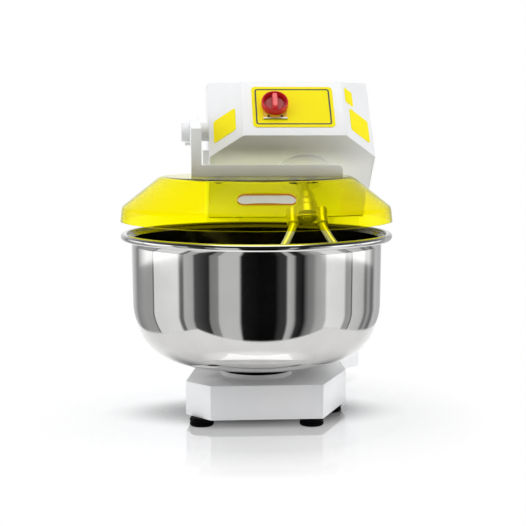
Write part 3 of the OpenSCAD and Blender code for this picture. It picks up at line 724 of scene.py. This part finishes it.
# %% Light round the room
# Each pair is an angle in degrees from the front, positive to the right, and a brightness
BANDS_LEFT = [
    (-180, 0.9), (-151.2, 0.45), (-144.6, 0.26), (-128.5, 0.38), (-112.9, 0.37),
    (-112.2, 0.06), (-111.2, 0.06), (-110.6, 0.78), (-79.4, 0.83), (-76.5, 0.14),
    (-73.7, 0.14), (-71.8, 0.50), (-63.3, 0.44), (-61, 0.08), (-47.2, 0.022),
    (-45.4, 0.24), (-38.7, 0.26), (-36.9, 0.57), (-19.4, 0.56), (-17, 0.008), (0, 0.002)]
BANDS_RIGHT = [
    (0, 0.002), (13.2, 0.003), (17, 0.035), (22.7, 0.04), (24.6, 0.5), (29.3, 0.42),
    (32.1, 0.03), (38.7, 0.008), (43.5, 0.2), (48.2, 0.25), (52, 0.42), (60.5, 0.50),
    (62.4, 0.88), (82.2, 0.83), (85, 0.36), (91.2, 0.40), (91.9, 0.1), (92.9, 0.1),
    (93.6, 0.66), (109.6, 0.55), (114.3, 0.16), (120, 0.38), (127.6, 0.12), (136.1, 0.56),
    (151.2, 0.45), (180, 0.9)]
# Above the bands the front of the room is dark, and only the ceiling shines
UPPER = [(-180, 0.9), (-125, 0.12), (-70, 0.02), (70, 0.02), (125, 0.12), (180, 0.9)]
# Two lamps stand over the side bands, just high enough to show under the bowl's rim
GLARE = [(-180, 0), (-142, 0), (-122, 0.9), (-76, 0.6), (-72, 0), (54, 0), (61, 0.6),
         (112, 0.9), (134, 0), (180, 0)]
# The same room for matt surfaces, which only feel its broad light and shade
BROAD = [(-180, 0.4), (-150, 0.5), (-130, 0.8), (-90, 2.4), (-62, 0.85), (-40, 0.02),
         (40, 0.02), (62, 0.75), (90, 2.3), (130, 0.8), (150, 0.5), (180, 0.4)]
CEILING = (1, 1, 1, 1)
print("bands:", len(BANDS_LEFT), "levels to the left and", len(BANDS_RIGHT), "to the right")

# %% [markdown]
# A ramp holds no more than 32 levels, so the bands need one for each side. Walls, lamps and
# ceiling are then stacked by how high the ray looks.

# %% Bands, lamps and ceiling
def by_direction(levels):
    """A ramp round the room, or round the part of it that the levels cover."""
    first, last = levels[0][0], levels[-1][0]
    share = add(room, "MapRange", {
        "Value": turn, "From Min": math.radians(first), "From Max": math.radians(last)})
    ramp = add(room, "ValToRGB", {"Fac": share})
    stops = ramp.color_ramp.elements
    while len(stops) < len(levels):
        stops.new(1.0)
    for stop, (degrees, level) in zip(stops, levels):
        stop.position = (degrees - first) / (last - first)
        stop.color = (level * 0.99, level, level * 1.01, 1)
    return ramp.outputs["Color"]


def rising(lower, upper, start, end):
    """Blends from one colour to another between two heights of view."""
    height = add(room, "MapRange", {
        "Value": direction.outputs["Z"], "From Min": start, "From Max": end})
    return add(room, "Mix", {0: height, 6: lower, 7: upper}, data_type="RGBA").outputs[2]


on_right = add(room, "Math", {0: turn, 1: 0.0}, operation="GREATER_THAN")
bands = add(room, "Mix", {0: on_right, 6: by_direction(BANDS_LEFT),
                          7: by_direction(BANDS_RIGHT)}, data_type="RGBA").outputs[2]
lamps_on = add(room, "Mix", {0: 1.0, 6: bands, 7: by_direction(GLARE)}, data_type="RGBA",
               blend_type="ADD").outputs[2]
lit_bands = rising(bands, lamps_on, -0.1235, -0.1213)
walls = rising(lit_bands, by_direction(UPPER), 0.1, 0.25)
mirrored = add(room, "Background", {"Color": rising(walls, CEILING, 0.85, 0.93),
                                    "Strength": 1.1})
matt = add(room, "Background", {"Color": rising(by_direction(BROAD), CEILING, 0.45, 0.85),
                                "Strength": 0.95})
seen = add(room, "Background", {"Color": CEILING, "Strength": 1.0})
print("room so far:", len(room.nodes), "nodes")

# %% [markdown]
# Polish needs sharp bands, matt paint needs broad light, and behind the machine the eye
# meets plain white. Lamps and cards would have to do all three at once. Here, what a ray
# meets depends on the surfaces that it has already left.

# %% Which room a ray meets
ray = add(room, "LightPath")
off_polish = add(room, "Math", {0: ray.outputs["Glossy Depth"], 1: 0.5},
                 operation="GREATER_THAN")
off_paint = add(room, "Math", {0: ray.outputs["Diffuse Depth"], 1: 0.5},
                operation="GREATER_THAN")
polished = add(room, "MixShader", {0: off_polish, 1: seen, 2: mirrored})
whole_room = add(room, "MixShader", {0: off_paint, 1: polished, 2: matt})
add(room, "OutputWorld", {"Surface": whole_room})
print("room:", len(room.nodes), "nodes")

# %% [markdown]
# ## Table
# The machine stands on white acrylic sheet, cast between glass plates that leave it flat and
# glossy. Its faint reflection anchors the feet. It mirrors a little more than bare acrylic
# would, so its IOR is raised and part of it is metallic.

# %% Table top
span = 60.0  # metres, far enough to reach past every view
table_mesh = bpy.data.meshes.new("table")
table_mesh.from_pydata(
    [(-span, -span, 0), (span, -span, 0), (span, span, 0), (-span, span, 0)], [], [(0, 1, 2, 3)])
table = bpy.data.objects.new("table", table_mesh)
scene.collection.objects.link(table)
acrylic, tree, bsdf, where = start_finish("white_acrylic_sheet", Roughness=0.015, IOR=1.8,
                                          Metallic=0.3)
table.data.materials.append(acrylic)
print("table", round(2 * span), "m across")

# %% Where a point of the table lies, and what looks at it
place = add(tree, "SeparateXYZ", {"Vector": where})
from_bowl = add(tree, "VectorMath", {0: where, 1: (*bowl_axis, 0.0)}, operation="DISTANCE")
distance = from_bowl.outputs["Value"]
path = add(tree, "LightPath")
reflected = add(tree, "Math", {0: path.outputs["Glossy Depth"], 1: 0.5},
                operation="GREATER_THAN")
scattered = add(tree, "Math", {0: path.outputs["Diffuse Depth"], 1: 0.5},
                operation="GREATER_THAN")
bounced = add(tree, "Math", {0: reflected, 1: scattered}, operation="MAXIMUM")
print("bowl axis at", [round(v, 4) for v in bowl_axis])

# %% [markdown]
# The machine keeps the room's light off the sheet, most under the bowl. The shade is an oval
# pool a little behind the bowl's axis.

# %% Shade under the machine
shade_centre = (bowl_axis[0], bowl_axis[1] + 0.02, 0.0)
half_width, half_depth = 0.33, 0.17
off_centre = add(tree, "VectorMath", {0: where, 1: shade_centre}, operation="SUBTRACT")
in_ovals = add(tree, "Mapping", {"Vector": off_centre,
                                 "Scale": (1 / half_width, 1 / half_depth, 1)})
ovals_out = add(tree, "VectorMath", {0: in_ovals}, operation="LENGTH").outputs["Value"]
lit = add(tree, "MapRange", {"Value": ovals_out, "From Min": 0.3, "From Max": 1.0,
                             "To Min": 0.12}, interpolation_type="SMOOTHERSTEP")
grey = add(tree, "CombineColor", {0: lit, 1: lit, 2: lit})
base = add(tree, "Mix", {0: 1.0, 6: paint("D6D6D7"), 7: grey}, data_type="RGBA",
           blend_type="MULTIPLY")
tree.links.new(base.outputs[2], bsdf.inputs["Base Color"])
print("shade", half_width, "by", half_depth, "m from its middle")

# %% [markdown]
# A plain white plane would show a horizon and a grey shadow. A light table shows neither, so
# the sheet glows from below: a little for the eye, more for what it lights. Far from the
# machine it melts into the white of the room.

# %% Glow
bsdf.inputs["Emission Color"].default_value = (1, 1, 1, 1)
strength = add(tree, "MapRange", {"Value": bounced, "To Min": 0.26, "To Max": 0.47})
glow = add(tree, "Math", {0: lit, 1: strength}, operation="MULTIPLY")
# Painted shade: in the bowl's mirror the table's glow fades towards the bowl's axis
painted_shade_under_bowl = add(tree, "MapRange", {"Value": distance, "From Min": 0.12, "From Max": 0.30,
                                    "To Min": 0.25})
seen_in_bowl = add(tree, "Mix", {0: reflected, 2: 1.0, 3: painted_shade_under_bowl})
glow_shown = add(tree, "Math", {0: glow, 1: seen_in_bowl}, operation="MULTIPLY")
tree.links.new(glow_shown.outputs[0], bsdf.inputs["Emission Strength"])

far = add(tree, "MapRange", {"Value": distance, "From Min": 0.29, "From Max": 0.46})
to_eye = add(tree, "Math", {0: 1.0, 1: bounced}, operation="SUBTRACT")
melted = add(tree, "Math", {0: far, 1: to_eye}, operation="MULTIPLY")
white = add(tree, "Emission", {"Color": (1, 1, 1, 1), "Strength": 1.0})
sheet = add(tree, "MixShader", {0: melted, 1: bsdf, 2: white})
print("sheet so far:", len(tree.nodes), "nodes")

# %% [markdown]
# In the bowl's mirror the table ends, and beyond its edges lies the dark room. The edges are
# there only for reflected rays, so the eye sees none.

# %% Edges that only the bowl shows
off_middle = add(tree, "Math", {0: place.outputs["X"], 1: 0.025}, operation="SUBTRACT")
sideways = add(tree, "Math", {0: off_middle}, operation="ABSOLUTE")
past_side = add(tree, "MapRange", {"Value": sideways, "From Min": 0.53, "From Max": 0.58})
forwards = add(tree, "Math", {0: bowl_axis[1], 1: place.outputs["Y"]}, operation="SUBTRACT")
past_front = add(tree, "MapRange", {"Value": forwards, "From Min": 0.42, "From Max": 0.45})
past_edge = add(tree, "Math", {0: past_side, 1: past_front}, operation="MAXIMUM")
hidden = add(tree, "Math", {0: reflected, 1: past_edge}, operation="MULTIPLY")
edged = add(tree, "MixShader", {0: hidden, 1: sheet, 2: add(tree, "BsdfTransparent")})
tree.links.new(edged.outputs[0], tree.nodes["Material Output"].inputs["Surface"])
print("sheet:", len(tree.nodes), "nodes")

# %% [markdown]
# ## Lights
# The room does most of the work. A large overhead softbox gives the head and the base their
# bright tops, and a panel at each side rounds the edges. They are area lamps, because a
# small lamp would leave hard shadows and hot spots on the white coat. The mirrored room has
# panels of its own, so the side panels don't show in polish.

# %% Lights
def softbox(name, spot, aim, size, power):
    """A rectangular lamp at a spot, turned to face its aim."""
    lamp = bpy.data.lights.new(name, "AREA")
    lamp.shape, lamp.size, lamp.size_y, lamp.energy = "RECTANGLE", size[0], size[1], power
    obj = bpy.data.objects.new(name, lamp)
    obj.location = spot
    obj.rotation_euler = (Vector(aim) - Vector(spot)).to_track_quat("-Z", "Y").to_euler()
    scene.collection.objects.link(obj)
    return obj


machine_middle = (0, 0, 0.4)
softbox("overhead", (0.0, -0.4, 2.6), machine_middle, (2.0, 1.6), 13)
left_panel = softbox("left_panel", (-2.2, -1.0, 1.3), machine_middle, (0.9, 1.6), 5)
right_panel = softbox("right_panel", (2.2, -0.8, 1.2), machine_middle, (0.9, 1.6), 4)
for side_lamp in (left_panel, right_panel):
    side_lamp.visible_glossy = False

# A reflector card in the bowl lifts the shade under the head, and shows in nothing itself
card = softbox("bowl_card", (0.03, bowl_axis[1] - 0.02, 0.39),
               (0.07, bowl_axis[1] + 0.16, 0.56), (0.26, 0.16), 0.42)
card.data.color = (0.97, 1.0, 0.74)
for kind in ("camera", "glossy", "transmission"):
    setattr(card, "visible_" + kind, False)
print("lamps:", sorted(lamp.name for lamp in bpy.data.lights))

# %% [markdown]
# ## Camera
# A fairly long lens stands about two and a half metres in front of the bowl, a little to the
# left, and looks slightly down. From there upright edges stay nearly parallel.

# %% Camera
camera_data = bpy.data.cameras.new("camera")
camera_data.sensor_width = 36.0
camera_data.lens = 84.14144
camera = bpy.data.objects.new("camera", camera_data)
camera.location = (-0.1567, bowl_axis[1] - 2.3969, 0.5768)
yaw, pitch = math.radians(4.045), math.radians(6.557)
camera.rotation_euler = (math.pi / 2 - pitch, 0, -yaw)
scene.collection.objects.link(camera)
scene.camera = camera
print("camera", round((camera.location - Vector((*bowl_axis, 0.4))).length, 2), "m from the bowl")
